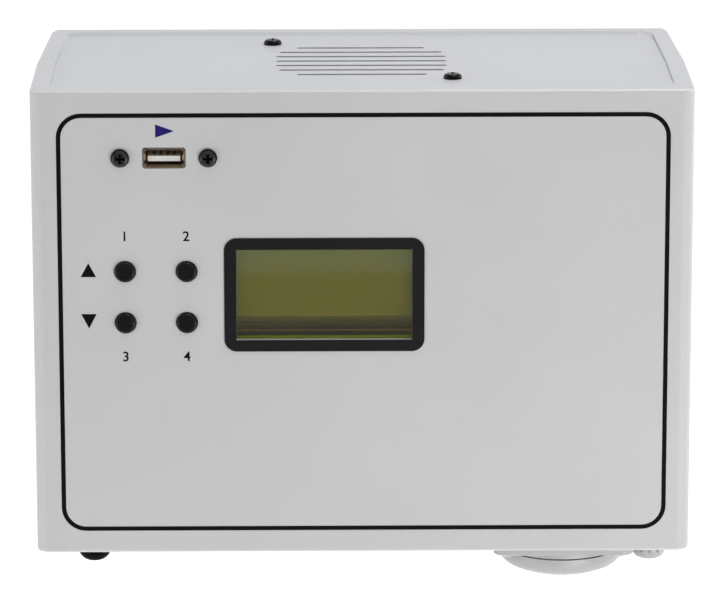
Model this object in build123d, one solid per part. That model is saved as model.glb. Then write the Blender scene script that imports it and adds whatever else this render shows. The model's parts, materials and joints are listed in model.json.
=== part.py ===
"""Wall-hung azan clock: a moulded case with a display, four push-buttons, a USB socket, a
loudspeaker under the top slots, and a mains outlet with a sprung lid on the underside.

Millimetres, +Z up. The front faces -Y and the wall is the plane Y = 0. While a piece is built,
Z = 0 is the underside of the case. It is then moved down so that the row's origin lies on the
wall, midway between the two keyholes.
"""

import os
from math import sqrt

from build123d import *

# ---------------------------------------------------------------- case
case_width = 227.0
case_height = 164.0
case_depth = 115.0
side_wall = 2.5
front_wall = 3.0
top_wall = 3.5
floor_wall = 2.5
rear_taper = 2.4            # each side draws in by this much behind the kink
kink_depth = 52.0           # from the front face to where the sides start to draw in
front_corner_radius = 4.5
rear_corner_radius = 9.0
kink_radius = 30.0
rim_radius = 1.2            # top and bottom edges
back_edge_radius = 5.0      # rear edges, seen from the side
inner_corner_radius = 2.0
inner_rear_radius = 5.0

cover_depth = 6.0           # how much of the depth belongs to the rear cover
cover_floor = 2.5
cover_lip_length = 3.0
cover_lip_wall = 1.5
parting_gap = 0.2
lip_clearance = 0.15

panel_rim_side = 6.6        # rim left round the sunk panel in the top
panel_rim_front = 9.0
panel_rim_rear = 20.0
panel_sink = 1.0
panel_corner_radius = 3.0

# ---------------------------------------------------------------- fasteners and clearances
m3_shank = 1.5              # radii
m3_hole = 1.7
m3_head = 3.2
m3_head_height = 1.8
m3_nut_flats = 5.5
m3_nut_height = 2.4
small_shank = 1.15
small_hole = 1.35
small_head = 2.2
small_head_height = 1.4
small_cross = 2.4
board_screw_length = 8.0
cross_length = 3.4
cross_width = 0.9
cross_sink = 0.9
screw_crown = 0.75          # rounded share of a screw head's height
nut_tip = 1.0               # screw standing out of its nut
tip_room = 2.0              # hole left beyond a screw's tip
running_gap = 0.3
fit_gap = 0.1

column_radius = 3.8         # long columns that the cover's screws go into
column_inset = 10.7         # from the case's side to the columns' middle
column_low = 41.0
column_drop = 15.0          # upper columns below the top of the case
column_rib = 1.6
column_bore_depth = 14.0
cover_pad_radius = 5.0
cover_pad_height = 3.0
counterbore_radius = 3.7
counterbore_depth = 2.6

hang_drop = 36.0            # keyholes below the top of the case
keyhole_spacing = 140.0
keyhole_entry = 4.5
keyhole_slot = 2.3
keyhole_rise = 8.0
cover_rib_wall = 1.6
cover_rib_height = 2.2
cover_rib_drop = 22.5       # below the keyholes' entries

# ---------------------------------------------------------------- display
window_inset = 100.3        # from the case's left side to the window's middle
window_drop = 71.7          # from the top of the case to the window's middle
window_width = 60.4
window_height = 32.0
bezel_width = 68.8
bezel_height = 40.0
bezel_radius = 4.3
bezel_thickness = 0.4
pane_sink = 1.4
pane_flange = 2.2
pane_flange_thickness = 1.2
module_width = 87.0
module_height = 60.0
module_rise = 2.2           # middle of the module above the window's middle
module_hole_inset = 2.5
module_boss_radius = 2.4
module_margin_x = 7.0       # board left clear at each side of the metal frame
module_margin_z = 9.5
metal_sheet = 0.6
view_width = 62.0
view_height = 26.0
glass_thickness = 2.4
light_thickness = 2.8
board_thickness = 1.6

# ---------------------------------------------------------------- buttons
buttons_gap = 14.3          # from the display's board to the buttons' middle
buttons_drop = 72.4
button_pitch_x = 21.1
button_pitch_z = 18.1
button_radius = 3.5
button_proud = 1.7
button_crown = 0.9          # rounding of the button's edge
button_flange_radius = 4.8
button_flange_thickness = 1.0
button_post_radius = 1.7
button_travel = 0.5
button_post_reach = 0.4     # how far the post stands in the switch at rest
key_board_margin = 3.5      # board beyond the buttons' centres
key_board_margin_z = 7.0
key_boss_radius = 2.6
key_screw_z = 11.5
key_stand_off = 9.2
switch_size = 6.0
switch_height = 3.5
switch_well_depth = 1.4

# ---------------------------------------------------------------- USB socket
usb_inset = 45.7
usb_drop = 23.5
usb_screw_pitch = 30.0
usb_mouth_width = 14.5
usb_mouth_height = 7.0
usb_flare = 0.6
usb_flare_depth = 0.9
usb_sheet = 0.4
usb_shell_depth = 14.0
usb_corner_radius = 0.9
usb_opening_clearance = 0.15
usb_body_width = 39.0
usb_body_height = 12.0
usb_body_depth = 15.0
usb_body_corner = 2.0
usb_hole_depth = 9.0        # screw holes in the moulded body
usb_tongue_width = 11.1
usb_tongue_height = 1.84
usb_tongue_drop = 0.5
usb_tongue_sink = 1.6
usb_root_thickness = 2.0
usb_contact_width = 1.0
usb_contact_pitch = 2.3
usb_contact_height = 0.3

# ---------------------------------------------------------------- loudspeaker and its slots
speaker_screw_pitch = 62.6
speaker_rear_gap = 13.0     # between the flange and the cover's lip
speaker_flange_margin = 5.7 # from the screws' centres to the flange's edge
speaker_flange_thickness = 1.2
speaker_flange_corner = 8.0
speaker_mouth_radius = 32.0
speaker_basket_wall = 1.2
speaker_basket_depth = 17.0
speaker_neck_radius = 17.0
speaker_magnet_radius = 22.5
speaker_magnet_height = 9.0
speaker_plate_height = 3.0
speaker_plate_inset = 1.5
cone_thickness = 0.8
cone_neck_radius = 10.0
cone_drop = 11.0
cone_edge = 4.0             # flat edge round the cone
cone_clearance = 1.0        # inside the basket's mouth
edge_ring_width = 3.0
basket_window_share = 0.7   # of the neck's width
slot_count = 7
slot_pitch = 8.0
slot_width = 2.2
slot_circle_radius = 33.0
slot_longest = 60.0

# ---------------------------------------------------------------- underside
outlet_inset = 43.3
outlet_depth = 30.0         # centre of the outlet, behind the front face
outlet_flange_size = 49.0
outlet_flange_thickness = 3.5
outlet_flange_corner = 4.0
outlet_edge_radius = 0.8
outlet_collar_radius = 21.5
outlet_collar_height = 2.1
outlet_recess_radius = 19.5
outlet_recess_depth = 17.5
outlet_cup_wall = 2.2
outlet_cup_floor = 3.0
outlet_screw_pitch = 39.0
outlet_pin_pitch = 19.0
outlet_pin_radius = 2.5
contact_wall = 0.5
contact_length = 9.0
earth_clip_width = 5.0
earth_clip_thickness = 0.8
earth_clip_stand = 1.0
earth_clip_drop = 3.0       # lower ends above the collar's mouth
earth_foot_gap = 0.3
lid_radius = 21.8
lid_height = 9.9
lid_wall = 1.6
lid_rim_height = 1.2
lid_shoulder = 5.0
lid_gap = 0.4
lid_knuckle_radius = 2.1
lid_knuckle_width = 9.0
hinge_pin_radius = 1.0
hinge_bore_gap = 0.06
hinge_back = 24.2           # hinge axis behind the outlet's centre
lug_width = 3.0
spring_wire = 0.3
spring_room = 0.2           # round the pin
spring_step = 0.65          # from turn to turn
spring_turns = 3
spring_space = 2.6

service_depth = 27.0        # fuse holder and gland, behind the front face
fuse_inset = 18.9
fuse_cap_radius = 5.8
fuse_cap_drop = 10.4
fuse_cap_gap = 0.3
fuse_flange_radius = 7.0
fuse_flange_thickness = 2.0
fuse_flange_chamfer = 0.6
fuse_cap_flat = 1.3         # radius left flat at the cap's end
fuse_barrel_end = 2.0
fuse_barrel_radius = 5.4
fuse_barrel_length = 32.0
fuse_bore_radius = 3.6
fuse_stem_radius = 3.2
fuse_stem_length = 6.0
fuse_glass_radius = 2.6
fuse_glass_length = 20.0
fuse_glass_inset = 0.3      # glass inside its metal ends
fuse_ferrule_length = 4.5
fuse_nut_radius = 8.0
fuse_nut_height = 3.0
coin_slot_width = 1.2
coin_slot_depth = 1.2
gland_inset = 12.2
gland_radius = 5.8
gland_drop = 10.1
gland_hex_height = 2.4
gland_thread_radius = 4.8
gland_thread_length = 9.0
gland_bore_radius = 2.7      # where the nose grips the lead
gland_throat_radius = 3.6
gland_nose_rounding = 3.0
gland_flutes = 12
gland_flute_radius = 0.6
gland_flute_depth = 0.25
gland_nut_flats = 13.0
gland_nut_height = 3.0
line_offset = -10.0
line_setback = 28.0         # in front of the wall
line_sleeve_radius = 4.1
line_bore_radius = 3.3
line_drop = 9.0
line_base_radius = 6.0
line_base_thickness = 1.5
line_tail = 8.0
line_end = 1.0
line_pin_radius = 1.7

# ---------------------------------------------------------------- inside
main_board_width = 128.0
main_board_height = 62.0
main_board_x = -33.0
main_board_z = 47.0
main_board_stand = 8.0
main_board_margin = 5.0
post_radius = 3.0
relay_size = (19.0, 15.5, 15.6)
terminal_size = (30.0, 10.0, 10.0)
terminal_ways = 6
terminal_edge_x = 24.0      # from the board's right edge
terminal_edge_z = 8.0       # from its lower edge
terminal_screw_radius = 1.6
terminal_screw_depth = 2.0
terminal_screw_rise = 2.0
terminal_mouth = 3.0
capacitor_radius = 6.5
capacitor_height = 21.0
capacitor_count = 3
capacitor_pitch = 15.0
capacitor_edge_x = 16.0     # first can from the board's left edge
capacitor_edge_z = 17.0     # from its upper edge
capacitor_rounding = 0.8
relay_edge_x = 20.0
relay_rise = 4.0
sink_width = 36.0
sink_depth = 16.0
sink_height = 24.0
sink_fins = 7
sink_fin_wall = 1.2
sink_base = 2.5
sink_edge_x = 34.0          # from the board's left edge
sink_edge_z = 17.0          # from its lower edge
chip_sizes = ((12.0, 12.0, 1.6), (8.0, 6.0, 1.8), (10.0, 7.5, 2.2))
chip_places = ((-4.0, 8.0), (14.0, 10.0), (-4.0, -10.0))
cell_radius = 10.0
cell_height = 3.2
holder_radius = 11.4
holder_height = 4.6
holder_edge_x = 51.5        # from the board's right edge
holder_edge_z = 15.0        # from its lower edge
core_width = 48.0
core_depth = 40.0
core_stack = 20.0
core_limb = 8.0
winding_gap = 0.2
winding_overhang = 7.0
winding_corner = 1.5
transformer_inset = 51.5
transformer_drop = 72.0
transformer_pad_height = 5.0
transformer_pad_radius = 4.0
transformer_tip_room = 1.0
bracket_sheet = 1.2
bracket_foot = 10.0
bracket_width = 18.0
ribbon_width = 25.0
ribbon_thickness = 0.9
ribbon_offset = 6.0         # right of the window's middle
ribbon_bend = 7.0
ribbon_straight = 18.0      # out of each plug before it bends
plug_margin = 2.0           # plug to the board's edge, and past the ribbon at each side
plug_height = 6.0
plug_depth = 5.0

# ---------------------------------------------------------------- places that follow
front_y = -case_depth
wall_back_y = front_y + front_wall
kink_y = front_y + kink_depth
parting_y = -cover_depth
half_width = case_width / 2
panel_z = case_height - panel_sink
ceiling_z = case_height - top_wall
hang_z = case_height - hang_drop
column_x = half_width - column_inset
column_high = case_height - column_drop
window_x = -half_width + window_inset
window_z = case_height - window_drop
module_z = window_z + module_rise
ribbon_x = window_x + ribbon_offset
module_hole_x = module_width - 2 * module_hole_inset
module_hole_z = module_height - 2 * module_hole_inset
metal_width = module_width - 2 * module_margin_x
metal_height = module_height - 2 * module_margin_z
button_x_centre = window_x - module_width / 2 - buttons_gap
button_z_centre = case_height - buttons_drop
usb_x = -half_width + usb_inset
usb_z = case_height - usb_drop
speaker_flange_size = speaker_screw_pitch + 2 * speaker_flange_margin
speaker_y = parting_y - cover_lip_length - speaker_rear_gap - speaker_flange_size / 2
outlet_x = half_width - outlet_inset
outlet_y = front_y + outlet_depth
service_y = front_y + service_depth
fuse_x = -half_width + fuse_inset
gland_x = half_width - gland_inset
line_x = line_offset
line_y = -line_setback
transformer_x = half_width - transformer_inset
transformer_z = case_height - transformer_drop

LOW = Align.MIN
MID = Align.CENTER
PIECES = {}


def keep(name, shape):
    """Remember a finished piece under its node's name."""
    PIECES[name] = shape


def upright(radius, x, y, low, high):
    """Cylinder along Z."""
    return Pos(x, y, low) * Cylinder(radius, high - low, align=(MID, MID, LOW))


def lengthwise(radius, x, z, front, back):
    """Cylinder along Y, from its front end to its back end."""
    return Pos(x, front, z) * Rot(X=-90) * Cylinder(radius, back - front, align=(MID, MID, LOW))


def crosswise(radius, y, z, left, right):
    """Cylinder along X."""
    return Pos(left, y, z) * Rot(Y=90) * Cylinder(radius, right - left, align=(MID, MID, LOW))


def block(x, y, z):
    """Box between two values on each axis."""
    size = (x[1] - x[0], y[1] - y[0], z[1] - z[0])
    return Pos(x[0], y[0], z[0]) * Box(*size, align=(LOW, LOW, LOW))


def facing(y):
    """Plane parallel to the front face at this Y, drawn as seen from the front."""
    return Plane(origin=(0, y, 0), x_dir=(1, 0, 0), z_dir=(0, -1, 0))


def plate(sketch, x, z, front, back):
    """Sheet parallel to the front face."""
    return extrude(facing(back) * Pos(x, z) * sketch, back - front)


def level(sketch, x, y, low, high):
    """Sheet parallel to the floor."""
    return extrude(Plane.XY.offset(low) * Pos(x, y) * sketch, high - low)


def corners(pitch_x, pitch_y):
    """The four corners of a rectangle round the origin."""
    return [(sx * pitch_x / 2, sy * pitch_y / 2) for sx in (-1, 1) for sy in (-1, 1)]


def joined(pieces):
    """One shape out of several solids."""
    return Part() + list(pieces)


def pan_screw(head, head_height, shank, length, cross=cross_length):
    """Screw standing on Z = 0 with its head up, domed, with a cross recess."""
    crown = head_height * screw_crown
    body = Cylinder(head, head_height, align=(MID, MID, LOW))
    body = fillet(body.edges().sort_by(Axis.Z)[-1:], crown)
    for turn in (0, 90):
        slot = Box(cross, cross_width, cross_sink, align=(MID, MID, LOW))
        body -= Pos(0, 0, head_height - cross_sink) * Rot(Z=turn) * slot
    return body + Pos(0, 0, -length) * Cylinder(shank, length, align=(MID, MID, LOW))


# ---------------------------------------------------------------- case
def plan_outline(inset, front, back, corner, rear=inner_rear_radius):
    """Plan of the case, drawn in on every side by the inset, between two values of Y."""
    half = half_width - inset
    slope = rear_taper / (0 - kink_y)
    back_half = half - slope * (back - kink_y)
    points = [(-half, front), (half, front), (half, kink_y), (back_half, back)]
    points += [(-back_half, back), (-half, kink_y)]
    outline = make_face(Polyline(*points, close=True))
    kinks = outline.vertices().filter_by(lambda v: abs(v.Y - kink_y) < fit_gap)
    outline = fillet(kinks, kink_radius)
    fronts = outline.vertices().group_by(Axis.Y)[0]
    outline = fillet(fronts, corner)
    backs = outline.vertices().group_by(Axis.Y)[-1]
    return fillet(backs, rear)


def case_block():
    """Outer form of the whole case, front housing and rear cover together."""
    outline = plan_outline(0, front_y, 0, front_corner_radius, rear_corner_radius)
    body = extrude(outline, case_height)
    rims = body.edges().group_by(Axis.Z)
    body = fillet(rims[0] + rims[-1], rim_radius)
    side = Pos(-case_depth / 2, case_height / 2) * Rectangle(case_depth, case_height)
    backs = side.vertices().group_by(Axis.X)[-1]
    side = fillet(backs, back_edge_radius)
    side_plane = Plane(origin=(-case_width, 0, 0), x_dir=(0, 1, 0), z_dir=(1, 0, 0))
    return body & extrude(side_plane * side, 2 * case_width)


def cavity():
    """Hollow of the front housing, open at the back."""
    outline = plan_outline(side_wall, wall_back_y, 2 * inner_rear_radius, inner_corner_radius)
    return Pos(0, 0, floor_wall) * extrude(outline, ceiling_z - floor_wall)


def slot_places():
    """Distance behind the loudspeaker's centre and length of each slot in the top."""
    for index in range(slot_count):
        offset = (index - (slot_count - 1) / 2) * slot_pitch
        yield offset, min(slot_longest, 2 * sqrt(slot_circle_radius**2 - offset**2))


def speaker_screw_places():
    """The top shows two screws, on one diagonal of the loudspeaker's flange."""
    half = speaker_screw_pitch / 2
    return [(-half, speaker_y + half), (half, speaker_y - half)]


def button_places():
    """Button name, X and Z."""
    names = (("up_button", "menu_button"), ("down_button", "ok_button"))
    for row, pair in enumerate(names):
        for column, name in enumerate(pair):
            x = button_x_centre + (column - 0.5) * button_pitch_x
            yield name, x, button_z_centre + (0.5 - row) * button_pitch_z


def key_screw_places():
    return [(button_x_centre, button_z_centre + side * key_screw_z) for side in (-1, 1)]


def usb_screw_places():
    return [(usb_x + side * usb_screw_pitch / 2, usb_z) for side in (-1, 1)]


def column_places():
    return [(sx * column_x, z) for sx in (-1, 1) for z in (column_low, column_high)]


def housing_columns():
    """Four long columns with ribs to the side walls, for the cover's screws."""
    end = -cover_floor - cover_pad_height
    for x, z in column_places():
        side = 1 if x > 0 else -1
        reach = sorted((x, side * (half_width - rear_taper - side_wall / 2)))
        rib = block(reach, (wall_back_y, parting_y - cover_lip_length - 1),
                    (z - column_rib / 2, z + column_rib / 2))
        bore = lengthwise(m3_shank, x, z, end - column_bore_depth, end)
        yield (lengthwise(column_radius, x, z, wall_back_y, end) + rib) - bore


def housing_bosses():
    """Short bosses behind the front wall, for the display and the key board."""
    for dx, dz in corners(module_hole_x, module_hole_z):
        x, z = window_x + dx, module_z + dz
        boss = lengthwise(module_boss_radius, x, z, wall_back_y, module_board_front())
        yield boss - lengthwise(small_shank, x, z, wall_back_y, module_board_front())
    for x, z in key_screw_places():
        back = wall_back_y + key_stand_off
        boss = lengthwise(key_boss_radius, x, z, wall_back_y, back)
        yield boss - lengthwise(small_shank, x, z, wall_back_y, back)


def top_panel():
    """Sunk panel in the top, following the case's plan."""
    outline = plan_outline(panel_rim_side, front_y + panel_rim_front,
                           -panel_rim_rear, panel_corner_radius)
    return Pos(0, 0, panel_z) * extrude(outline, top_wall)


def front_openings():
    """Cut-outs through the front wall."""
    through = (front_y - 1, wall_back_y)
    yield plate(Rectangle(window_width, window_height), window_x, window_z, *through)
    for _, x, z in button_places():
        yield lengthwise(button_radius + running_gap, x, z, *through)
    for x, z in usb_screw_places():
        yield lengthwise(m3_hole, x, z, *through)
    mouth = RectangleRounded(usb_mouth_width + 2 * usb_opening_clearance,
                             usb_mouth_height + 2 * usb_opening_clearance,
                             usb_corner_radius + usb_opening_clearance)
    yield plate(mouth, usb_x, usb_z, *through)


def top_openings():
    """Slots and screw holes through the top."""
    for offset, length in slot_places():
        slot = SlotOverall(length, slot_width)
        yield level(slot, 0, speaker_y + offset, ceiling_z, case_height)
    for x, y in speaker_screw_places():
        yield upright(m3_hole, x, y, ceiling_z, case_height)
        yield upright(m3_head + running_gap, x, y, panel_z, case_height)


def floor_openings():
    """Holes through the underside."""
    cup = outlet_recess_radius + outlet_cup_wall
    yield upright(cup + fit_gap, outlet_x, outlet_y, 0, floor_wall)
    for dx, dy in corners(outlet_screw_pitch, outlet_screw_pitch):
        yield upright(small_shank, outlet_x + dx, outlet_y + dy, 0, floor_wall)
    yield upright(fuse_barrel_radius + fit_gap, fuse_x, service_y, 0, floor_wall)
    yield upright(gland_thread_radius + fit_gap, gland_x, service_y, 0, floor_wall)
    yield upright(line_sleeve_radius + fit_gap, line_x, line_y, 0, floor_wall)


def front_housing():
    body = case_block() - cavity() - top_panel()
    body -= block((-case_width, case_width), (parting_y, 1), (-1, case_height + 1))
    body += joined(housing_columns()) + joined(housing_bosses())
    for hole in [*front_openings(), *top_openings(), *floor_openings()]:
        body -= hole
    return body


def keyhole(x):
    """Round entry below with a narrow slot above it, through the cover's floor."""
    entry = Pos(x, hang_z) * Circle(keyhole_entry)
    slot = Pos(x, hang_z + keyhole_rise / 2) * Rectangle(2 * keyhole_slot, keyhole_rise)
    top = Pos(x, hang_z + keyhole_rise) * Circle(keyhole_slot)
    return extrude(facing(1) * (entry + slot + top), cover_floor + 2)


def cover_lip():
    """Ring that stands inside the housing's walls."""
    front = parting_y - cover_lip_length
    inset = side_wall + lip_clearance
    outer = plan_outline(inset, wall_back_y, 0, inner_corner_radius)
    inner = plan_outline(inset + cover_lip_wall, wall_back_y, 0, inner_corner_radius)
    low = floor_wall + lip_clearance
    high = ceiling_z - lip_clearance
    ring = Pos(0, 0, low) * extrude(outer, high - low)
    ring -= Pos(0, 0, low + cover_lip_wall) * extrude(inner, high - low - 2 * cover_lip_wall)
    return ring & block((-case_width, case_width), (front, -cover_floor), (0, case_height))


def cover_posts():
    """Posts for the main board, and pads round the cover's own screws."""
    for dx, dz in main_board_holes():
        yield lengthwise(post_radius, dx, dz, -cover_floor - main_board_stand, -cover_floor)
    for x, z in column_places():
        yield lengthwise(cover_pad_radius, x, z, -cover_floor - cover_pad_height, -cover_floor)
    for x, z in transformer_holes():
        yield lengthwise(transformer_pad_radius, x, z, transformer_back(), -cover_floor)


def rear_cover():
    body = case_block()
    body -= block((-case_width, case_width), (front_y - 1, parting_y + parting_gap), (-1, case_height + 1))
    pocket = plan_outline(side_wall, wall_back_y, -cover_floor, inner_corner_radius)
    body -= Pos(0, 0, floor_wall) * extrude(pocket, ceiling_z - floor_wall)
    body += cover_lip()
    ribs = block((-half_width + 3 * side_wall, half_width - 3 * side_wall),
                 (-cover_floor - cover_rib_height, -cover_floor),
                 (hang_z - cover_rib_drop, hang_z - cover_rib_drop + cover_rib_wall))
    body += ribs
    body += joined(cover_posts())
    for x, z in column_places():
        body -= lengthwise(m3_hole, x, z, -cover_depth - 1, 1)
        body -= lengthwise(counterbore_radius, x, z, -counterbore_depth, 1)
    for x, z in main_board_holes():
        body -= lengthwise(small_shank, x, z, -cover_floor - main_board_stand, -cover_floor)
    for x, z in transformer_holes():
        body -= lengthwise(m3_shank, x, z, transformer_back(), -cover_floor)
    for side in (-1, 1):
        body -= keyhole(side * keyhole_spacing / 2)
    return body


def rear_cover_screws():
    length = column_bore_depth - tip_room + cover_floor + cover_pad_height - counterbore_depth
    screw = Rot(X=-90) * pan_screw(m3_head, m3_head_height, m3_shank, length)
    return joined(Pos(x, -counterbore_depth, z) * screw for x, z in column_places())


# ---------------------------------------------------------------- display
def pane_back():
    return wall_back_y + pane_flange_thickness


def module_front():
    return pane_back() + running_gap


def module_board_front():
    return module_front() + metal_sheet + glass_thickness + light_thickness


def display_bezel():
    face = RectangleRounded(bezel_width, bezel_height, bezel_radius)
    face -= Rectangle(window_width, window_height)
    return plate(face, window_x, window_z, front_y - bezel_thickness, front_y)


def display_window():
    pane = Rectangle(window_width - 2 * fit_gap, window_height - 2 * fit_gap)
    flange = Rectangle(window_width + 2 * pane_flange, window_height + 2 * pane_flange)
    front = plate(pane, window_x, window_z, front_y + pane_sink, wall_back_y)
    return front + plate(flange, window_x, window_z, wall_back_y, pane_back())


def display_metal():
    """Black tin cover with the view cut out of its face."""
    back = module_board_front()
    body = plate(Rectangle(metal_width, metal_height), window_x, module_z, module_front(), back)
    inner = Rectangle(metal_width - 2 * metal_sheet, metal_height - 2 * metal_sheet)
    body -= plate(inner, window_x, module_z, module_front() + metal_sheet, back)
    view = Rectangle(view_width, view_height)
    return body - plate(view, window_x, module_z, module_front(), back)


def display_layer(front, thickness):
    size = (metal_width - 2 * metal_sheet - fit_gap, metal_height - 2 * metal_sheet - fit_gap)
    return plate(Rectangle(*size), window_x, module_z, front, front + thickness)


def display_board():
    front = module_board_front()
    board = Rectangle(module_width, module_height)
    for dx, dz in corners(module_hole_x, module_hole_z):
        board -= Pos(dx, dz) * Circle(small_hole)
    return plate(board, window_x, module_z, front, front + board_thickness)


def make_display():
    keep("display_bezel", display_bezel())
    keep("display_window", display_window())
    keep("display_metal_frame", display_metal())
    glass_front = module_front() + metal_sheet
    keep("display_glass", display_layer(glass_front, glass_thickness))
    keep("display_back_light", display_layer(glass_front + glass_thickness, light_thickness))
    keep("display_board", display_board())


# ---------------------------------------------------------------- buttons and key board
def key_board_front():
    return wall_back_y + key_stand_off


def switch_front():
    return key_board_front() - switch_height


def button(x, z):
    """Crowned cap with a flange behind the wall and a post into its switch."""
    cap = lengthwise(button_radius, x, z, front_y - button_proud, wall_back_y + running_gap)
    cap = fillet(cap.edges().group_by(Axis.Y)[0], button_crown)
    flange_back = wall_back_y + running_gap + button_flange_thickness
    flange = lengthwise(button_flange_radius, x, z, wall_back_y + running_gap, flange_back)
    post = lengthwise(button_post_radius, x, z, flange_back, switch_front() + button_post_reach)
    return cap + flange + post


def key_switches():
    def switch(x, z):
        case = Rectangle(switch_size, switch_size)
        body = plate(case, x, z, switch_front(), key_board_front())
        well_back = switch_front() + switch_well_depth
        well = lengthwise(button_post_radius + running_gap, x, z, switch_front(), well_back)
        return body - well

    return joined(switch(x, z) for _, x, z in button_places())


def key_board():
    front = key_board_front()
    width = button_pitch_x + 2 * key_board_margin
    height = button_pitch_z + 2 * key_board_margin_z
    board = plate(Rectangle(width, height), button_x_centre, button_z_centre,
                  front, front + board_thickness)
    for x, z in key_screw_places():
        board -= lengthwise(small_hole, x, z, front, front + board_thickness)
    return board


def make_keys():
    for name, x, z in button_places():
        keep(name, button(x, z))
    keep("key_switches", key_switches())
    keep("key_board", key_board())


# ---------------------------------------------------------------- USB socket
def usb_section(grow):
    """Section of the socket's tube, grown or drawn in from its outer side."""
    width = usb_mouth_width - 2 * usb_flare + 2 * grow
    height = usb_mouth_height - 2 * usb_flare + 2 * grow
    return RectangleRounded(width, height, max(usb_corner_radius + grow, usb_sheet / 2))


def usb_flared(grow, front, depth):
    """Straight tube with a flared mouth."""
    wide = facing(front) * Pos(usb_x, usb_z) * usb_section(usb_flare + grow)
    narrow = facing(front + usb_flare_depth) * Pos(usb_x, usb_z) * usb_section(grow)
    mouth = loft([wide.face(), narrow.face()], ruled=True)
    return mouth + plate(usb_section(grow), usb_x, usb_z, front + usb_flare_depth, front + depth)


def usb_shell():
    return usb_flared(0, front_y, usb_shell_depth) - usb_flared(-usb_sheet, front_y, usb_shell_depth)


def usb_tongue():
    """Insulator: a root that closes the back of the shell, and the tongue with its contacts."""
    back = front_y + usb_shell_depth
    root = plate(usb_section(-usb_sheet), usb_x, usb_z, back - usb_root_thickness, back)
    face = Rectangle(usb_tongue_width, usb_tongue_height)
    return root + plate(face, usb_x, usb_z - usb_tongue_drop, front_y + usb_tongue_sink, back)


def usb_contacts():
    low = usb_z - usb_tongue_drop + usb_tongue_height / 2
    back = front_y + usb_shell_depth - usb_root_thickness

    def strip(index):
        x = usb_x + (index - 1.5) * usb_contact_pitch
        half = usb_contact_width / 2
        return block((x - half, x + half), (front_y + 2 * usb_tongue_sink, back),
                     (low, low + usb_contact_height))

    return joined(strip(index) for index in range(4))


def usb_body():
    """Moulded body behind the wall that takes the two screws and grips the shell."""
    back = wall_back_y + usb_body_depth
    face = RectangleRounded(usb_body_width, usb_body_height, usb_body_corner)
    body = plate(face, usb_x, usb_z, wall_back_y, back)
    body -= plate(usb_section(0), usb_x, usb_z, wall_back_y, front_y + usb_shell_depth)
    for x, z in usb_screw_places():
        body -= lengthwise(m3_shank, x, z, wall_back_y, wall_back_y + usb_hole_depth)
    return body


def usb_screws():
    length = front_wall + usb_hole_depth - tip_room
    screw = Rot(X=90) * pan_screw(m3_head, m3_head_height, m3_shank, length)
    return joined(Pos(x, front_y, z) * screw for x, z in usb_screw_places())


def make_usb():
    keep("usb_shell", usb_shell())
    keep("usb_tongue", usb_tongue())
    keep("usb_contacts", usb_contacts())
    keep("usb_body", usb_body())
    keep("usb_screws", usb_screws())


# ---------------------------------------------------------------- loudspeaker
def turned(points, x, y, z):
    """Solid of revolution about a vertical axis; points are (radius, height)."""
    profile = make_face(Plane.XZ * Polyline(*points, close=True))
    return Pos(x, y, z) * revolve(profile, Axis.Z)


def speaker_frame():
    """Square flange with a conical basket below it, with four windows, and a neck."""
    under = ceiling_z - speaker_flange_thickness
    face = RectangleRounded(speaker_flange_size, speaker_flange_size, speaker_flange_corner)
    face -= Circle(speaker_mouth_radius)
    for dx, dy in corners(speaker_screw_pitch, speaker_screw_pitch):
        face -= Pos(dx, dy) * Circle(m3_hole)
    flange = level(face, 0, speaker_y, under, ceiling_z)
    top, neck, wall = speaker_mouth_radius, speaker_neck_radius, speaker_basket_wall
    depth = speaker_basket_depth
    basket = turned([(top, 0), (top + wall, 0), (neck + wall, -depth), (0, -depth),
                     (0, wall - depth), (neck, wall - depth)], 0, speaker_y, under)
    for turn in range(4):
        size = (2 * neck * basket_window_share, 2 * neck, depth / 2)
        window = Pos(0, speaker_mouth_radius, -depth / 2) * Box(*size)
        basket -= Pos(0, speaker_y, under) * Rot(Z=45 + 90 * turn) * window
    return flange + basket


def speaker_cone():
    """Paper cone with its rolled edge and its dust cap, one skin."""
    top = speaker_mouth_radius - cone_clearance
    edge, neck, skin, cap = top - cone_edge, cone_neck_radius, cone_thickness, 1 - cone_drop
    points = [(top, 0), (top, -skin), (edge, -skin), (neck, -cone_drop - skin), (0, cap),
              (0, cap + skin), (neck, -cone_drop), (edge, 0)]
    return turned(points, 0, speaker_y, ceiling_z - speaker_flange_thickness)


def speaker_edge():
    """Cardboard ring that clamps the cone's edge to the basket and seals to the top wall."""
    top = ceiling_z
    under = ceiling_z - speaker_flange_thickness
    ring = Circle(speaker_mouth_radius) - Circle(speaker_mouth_radius - edge_ring_width)
    return level(ring, 0, speaker_y, under, top)


def speaker_magnet():
    top = ceiling_z - speaker_flange_thickness - speaker_basket_depth
    return upright(speaker_magnet_radius, 0, speaker_y, top - speaker_magnet_height, top)


def speaker_back_plate():
    top = ceiling_z - speaker_flange_thickness - speaker_basket_depth - speaker_magnet_height
    plate_radius = speaker_magnet_radius - speaker_plate_inset
    return upright(plate_radius, 0, speaker_y, top - speaker_plate_height, top)


def speaker_screws():
    length = panel_z - ceiling_z + speaker_flange_thickness + m3_nut_height + nut_tip
    screw = pan_screw(m3_head, m3_head_height, m3_shank, length)
    return joined(Pos(x, y, panel_z) * screw for x, y in speaker_screw_places())


def speaker_nuts():
    high = ceiling_z - speaker_flange_thickness
    face = RegularPolygon(m3_nut_flats / 2, 6, major_radius=False) - Circle(m3_shank)
    return joined(level(face, x, y, high - m3_nut_height, high) for x, y in speaker_screw_places())


def make_speaker():
    keep("speaker_frame", speaker_frame())
    keep("speaker_cone", speaker_cone())
    keep("speaker_edge_ring", speaker_edge())
    keep("speaker_magnet", speaker_magnet())
    keep("speaker_back_plate", speaker_back_plate())
    keep("speaker_screws", speaker_screws())
    keep("speaker_nuts", speaker_nuts())


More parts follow.
